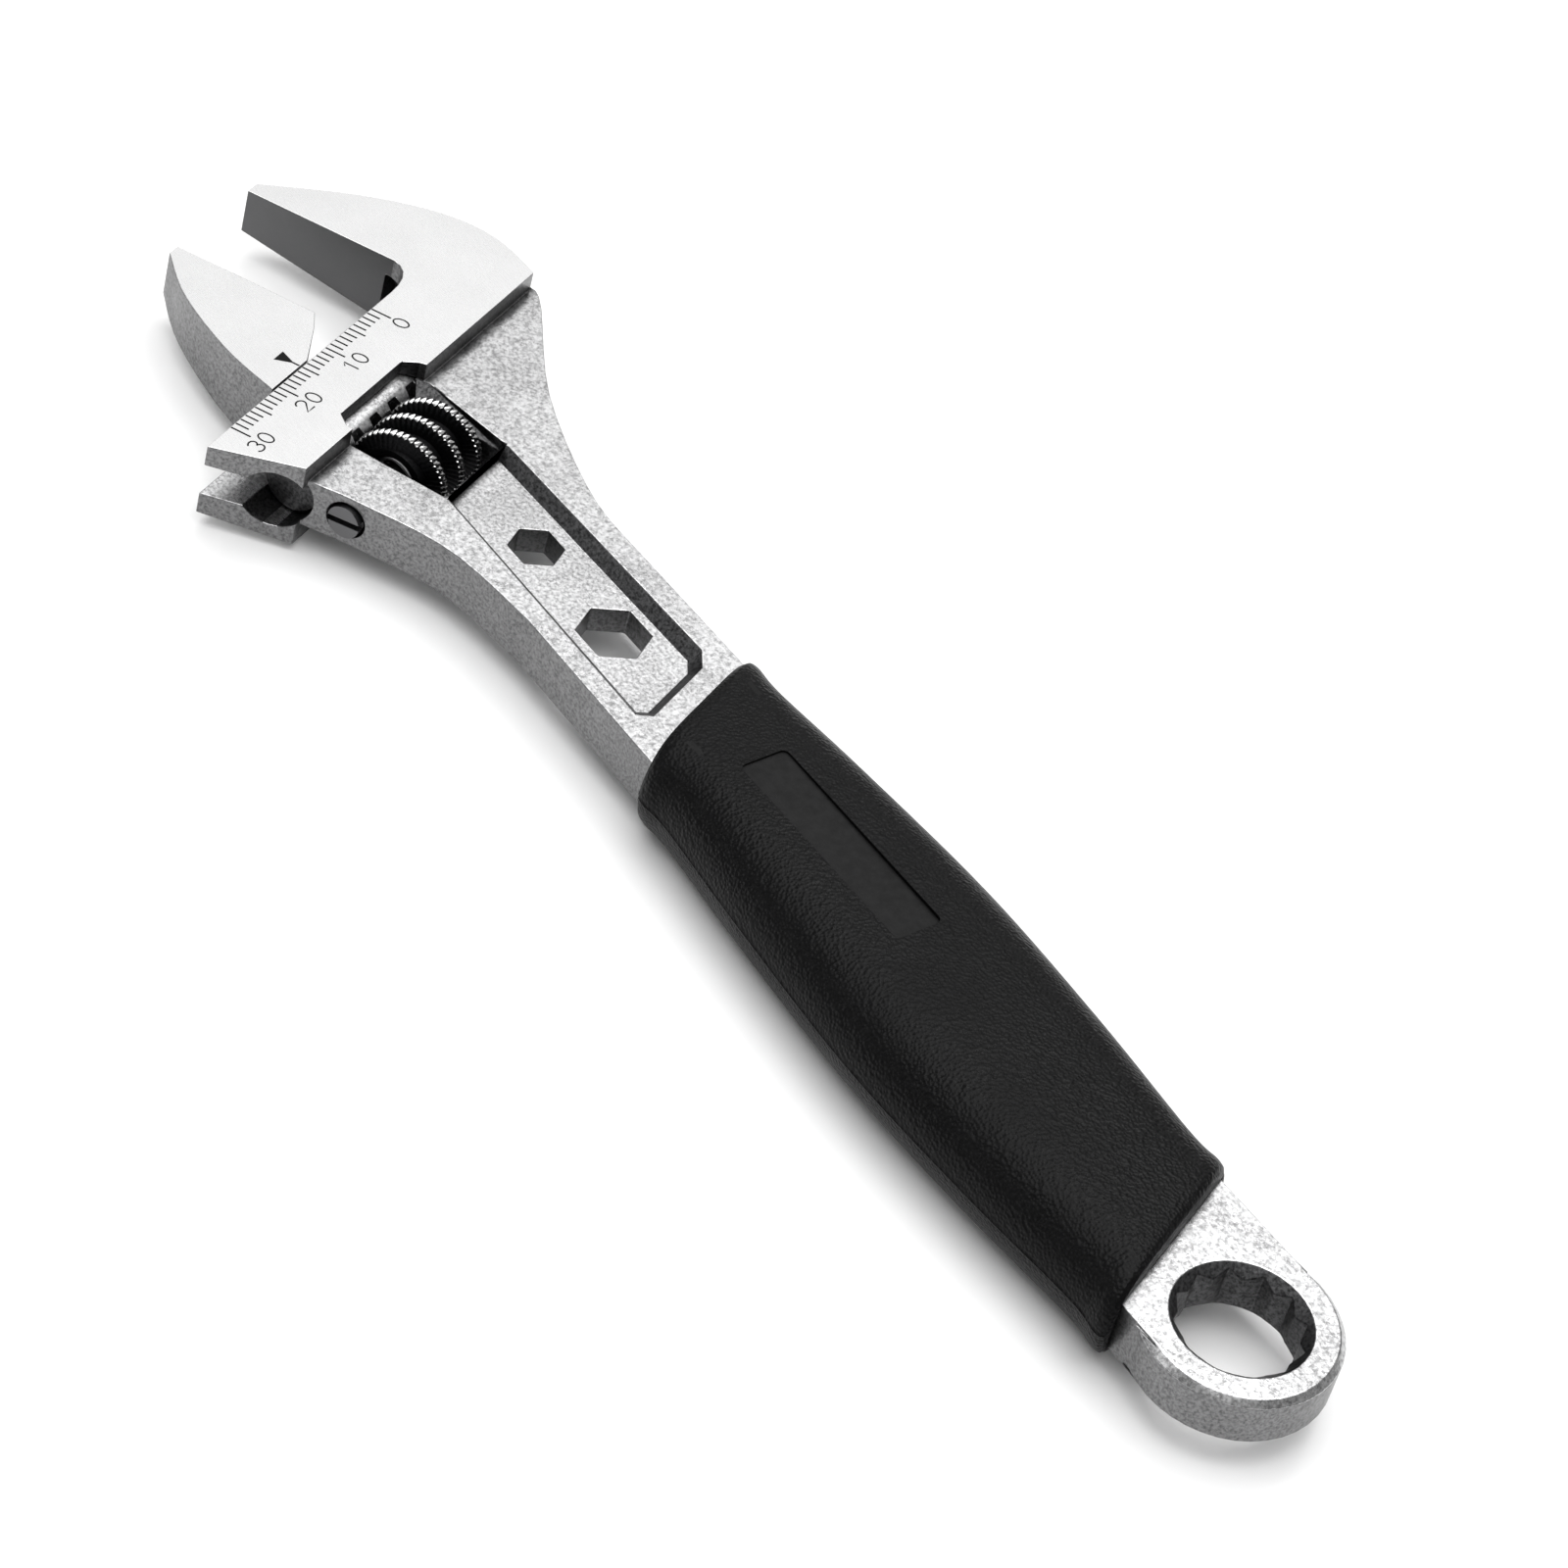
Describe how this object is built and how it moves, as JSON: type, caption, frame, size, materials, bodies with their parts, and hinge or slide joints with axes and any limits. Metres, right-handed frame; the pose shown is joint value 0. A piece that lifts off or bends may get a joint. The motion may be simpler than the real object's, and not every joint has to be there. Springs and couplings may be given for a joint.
{
  "type": "adjustable wrench",
  "caption": "Adjustable wrench with a millimetre scale on its head, two hexagon sockets in the shank, a moulded grip and a twelve-point ring end.",
  "frame": {"origin": "centre of the bounding box in X and Y, on the lowest plane of the grip in Z", "axes": "+X from the ring end to the jaws, +Y towards the movable jaw's side, +Z out of the face with the scale"},
  "size_m": [0.2138, 0.0548, 0.0144],
  "materials": {
    "chromed_forging": "satin chrome over a forged surface, ground bright on the head faces",
    "ground_steel": "ground and satin chromed",
    "blackened_steel": "blackened, knurled crests worn bright",
    "pin_steel": "dark satin",
    "spring_steel": "bright wire",
    "grip_plastic": "fine pebble texture, matte"
  },
  "bodies": {
    "wrench": {"wrench_body": "chromed_forging", "worm_pin": "pin_steel", "worm_spring": "spring_steel", "grip_sleeve": "grip_plastic"},
    "worm": {"adjusting_worm": "blackened_steel"},
    "jaw": {"movable_jaw": "ground_steel"}
  },
  "joints": [
    {"name": "worm_turn", "type": "hinge", "parent": "wrench", "child": "worm", "pos_m": [0.0588, 0.00109, 0.0072], "axis": [-0.3827, 0.9239, 0], "range_deg": [-1385, 1385]},
    {"name": "jaw_slide", "type": "slide", "parent": "wrench", "child": "jaw", "axis": [-0.3827, 0.9239, 0], "range_m": [-0.015, 0.015]}
  ],
  "couplings": [
    {"joint": "worm_turn", "follows": "jaw_slide", "rad_per_m": -1611.1}
  ]
}
